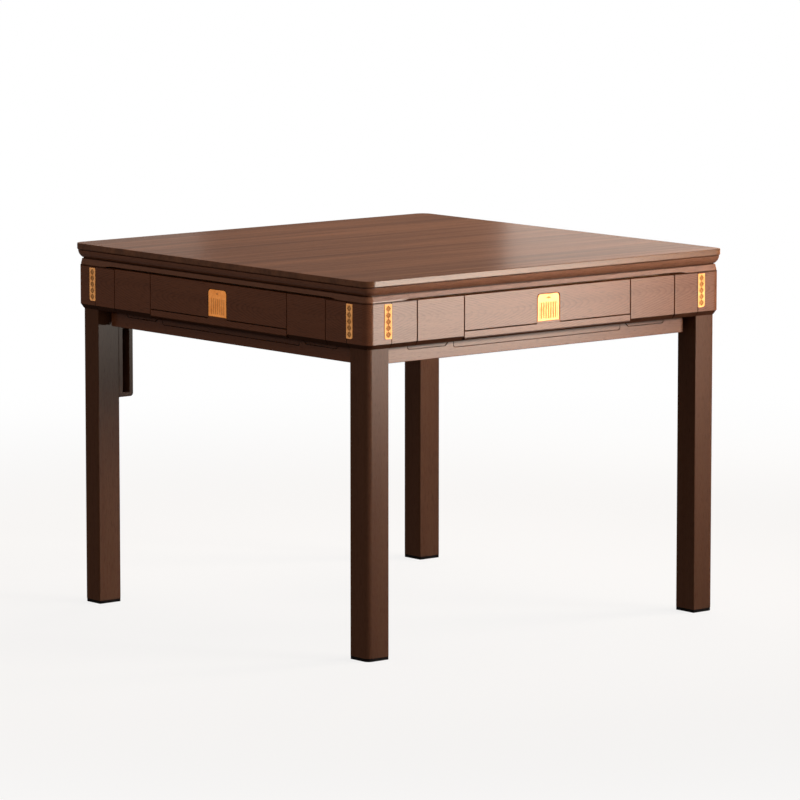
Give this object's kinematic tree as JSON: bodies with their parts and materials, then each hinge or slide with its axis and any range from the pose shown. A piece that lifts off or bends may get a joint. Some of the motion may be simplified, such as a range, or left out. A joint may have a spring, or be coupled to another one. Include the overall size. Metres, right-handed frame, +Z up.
{
  "type": "mahjong table",
  "caption": "Square wooden dining and mahjong table with a lift-off top, a felt playing bed, brass trimmed drawers on every side and four square legs.",
  "frame": {"origin": "centre of the table on the floor, under the middle of the top", "axes": "+Z up; -Y is the front side; -X the left side"},
  "size_m": [0.974, 0.974, 0.768],
  "materials": {
    "walnut_top": "satin lacquer, streaky straight grain",
    "walnut_panel": "satin lacquer, crown-cut grain",
    "walnut_moulding": "satin lacquer",
    "walnut_leg": "satin lacquer, upright grain",
    "walnut_rail": "satin lacquer",
    "drawer_beech": "clear lacquer",
    "runner_beech": "waxed",
    "plywood": "clear lacquer",
    "brass": "satin gold",
    "green_felt": "short wool felt",
    "zinc_steel": "zinc plated",
    "black_rubber": "matt"
  },
  "bodies": {
    "table_frame": {"rim_frame": "walnut_moulding", "bed_board": "plywood", "playing_felt": "green_felt", "corner_strips": "brass", "bottom_panel": "plywood", "divider_boards": "plywood", "apron_end_panels": "walnut_panel", "drawer_runners": "runner_beech", "side_pocket": "walnut_leg", "frame_screws": "zinc_steel", "corner_braces": "plywood", "leg_bolts": "zinc_steel", "foot_pads": "black_rubber", "corner_block_back_right": "walnut_panel", "corner_block_back_left": "walnut_panel", "corner_block_front_left": "walnut_panel", "corner_block_front_right": "walnut_panel", "leg_back_right": "walnut_leg", "leg_back_left": "walnut_leg", "leg_front_left": "walnut_leg", "leg_front_right": "walnut_leg", "lower_rail_front": "walnut_rail", "lower_rail_right": "walnut_rail", "lower_rail_back": "walnut_rail", "lower_rail_left": "walnut_rail"},
    "dining_cover": {"cover_board": "walnut_top", "cove_frame": "walnut_moulding", "locating_cleats": "runner_beech"},
    "centre_drawer_front": {"drawer_front_front": "walnut_panel", "drawer_box_front": "drawer_beech", "pull_plate_front": "brass"},
    "slim_drawer_front": {"slim_drawer_front": "walnut_rail"},
    "small_drawer_front_a": {"small_front_front_a": "walnut_panel", "small_box_front_a": "drawer_beech"},
    "small_drawer_front_b": {"small_front_front_b": "walnut_panel", "small_box_front_b": "drawer_beech"},
    "centre_drawer_right": {"drawer_front_right": "walnut_panel", "drawer_box_right": "drawer_beech", "pull_plate_right": "brass"},
    "slim_drawer_right": {"slim_drawer_right": "walnut_rail"},
    "small_drawer_right_a": {"small_front_right_a": "walnut_panel", "small_box_right_a": "drawer_beech"},
    "small_drawer_right_b": {"small_front_right_b": "walnut_panel", "small_box_right_b": "drawer_beech"},
    "centre_drawer_back": {"drawer_front_back": "walnut_panel", "drawer_box_back": "drawer_beech", "pull_plate_back": "brass"},
    "slim_drawer_back": {"slim_drawer_back": "walnut_rail"},
    "small_drawer_back_a": {"small_front_back_a": "walnut_panel", "small_box_back_a": "drawer_beech"},
    "small_drawer_back_b": {"small_front_back_b": "walnut_panel", "small_box_back_b": "drawer_beech"},
    "centre_drawer_left": {"drawer_front_left": "walnut_panel", "drawer_box_left": "drawer_beech", "pull_plate_left": "brass"},
    "slim_drawer_left": {"slim_drawer_left": "walnut_rail"},
    "small_drawer_left_a": {"small_front_left_a": "walnut_panel", "small_box_left_a": "drawer_beech"},
    "small_drawer_left_b": {"small_front_left_b": "walnut_panel", "small_box_left_b": "drawer_beech"}
  },
  "joints": [
    {"name": "cover_lift", "type": "slide", "parent": "table_frame", "child": "dining_cover", "axis": [0, 0, 1], "range_m": [0, 0.1]},
    {"name": "centre_drawer_slide_front", "type": "slide", "parent": "table_frame", "child": "centre_drawer_front", "axis": [0, -1, 0], "range_m": [0, 0.17]},
    {"name": "slim_drawer_slide_front", "type": "slide", "parent": "table_frame", "child": "slim_drawer_front", "axis": [0, -1, 0], "range_m": [0, 0.17]},
    {"name": "small_drawer_slide_front_a", "type": "slide", "parent": "table_frame", "child": "small_drawer_front_a", "axis": [0, -1, 0], "range_m": [0, 0.08]},
    {"name": "small_drawer_slide_front_b", "type": "slide", "parent": "table_frame", "child": "small_drawer_front_b", "axis": [0, -1, 0], "range_m": [0, 0.08]},
    {"name": "centre_drawer_slide_right", "type": "slide", "parent": "table_frame", "child": "centre_drawer_right", "axis": [1, 0, 0], "range_m": [0, 0.17]},
    {"name": "slim_drawer_slide_right", "type": "slide", "parent": "table_frame", "child": "slim_drawer_right", "axis": [1, 0, 0], "range_m": [0, 0.17]},
    {"name": "small_drawer_slide_right_a", "type": "slide", "parent": "table_frame", "child": "small_drawer_right_a", "axis": [1, 0, 0], "range_m": [0, 0.08]},
    {"name": "small_drawer_slide_right_b", "type": "slide", "parent": "table_frame", "child": "small_drawer_right_b", "axis": [1, 0, 0], "range_m": [0, 0.08]},
    {"name": "centre_drawer_slide_back", "type": "slide", "parent": "table_frame", "child": "centre_drawer_back", "axis": [0, 1, 0], "range_m": [0, 0.17]},
    {"name": "slim_drawer_slide_back", "type": "slide", "parent": "table_frame", "child": "slim_drawer_back", "axis": [0, 1, 0], "range_m": [0, 0.17]},
    {"name": "small_drawer_slide_back_a", "type": "slide", "parent": "table_frame", "child": "small_drawer_back_a", "axis": [0, 1, 0], "range_m": [0, 0.08]},
    {"name": "small_drawer_slide_back_b", "type": "slide", "parent": "table_frame", "child": "small_drawer_back_b", "axis": [0, 1, 0], "range_m": [0, 0.08]},
    {"name": "centre_drawer_slide_left", "type": "slide", "parent": "table_frame", "child": "centre_drawer_left", "axis": [-1, 0, 0], "range_m": [0, 0.17]},
    {"name": "slim_drawer_slide_left", "type": "slide", "parent": "table_frame", "child": "slim_drawer_left", "axis": [-1, 0, 0], "range_m": [0, 0.17]},
    {"name": "small_drawer_slide_left_a", "type": "slide", "parent": "table_frame", "child": "small_drawer_left_a", "axis": [-1, 0, 0], "range_m": [0, 0.08]},
    {"name": "small_drawer_slide_left_b", "type": "slide", "parent": "table_frame", "child": "small_drawer_left_b", "axis": [-1, 0, 0], "range_m": [0, 0.08]}
  ]
}
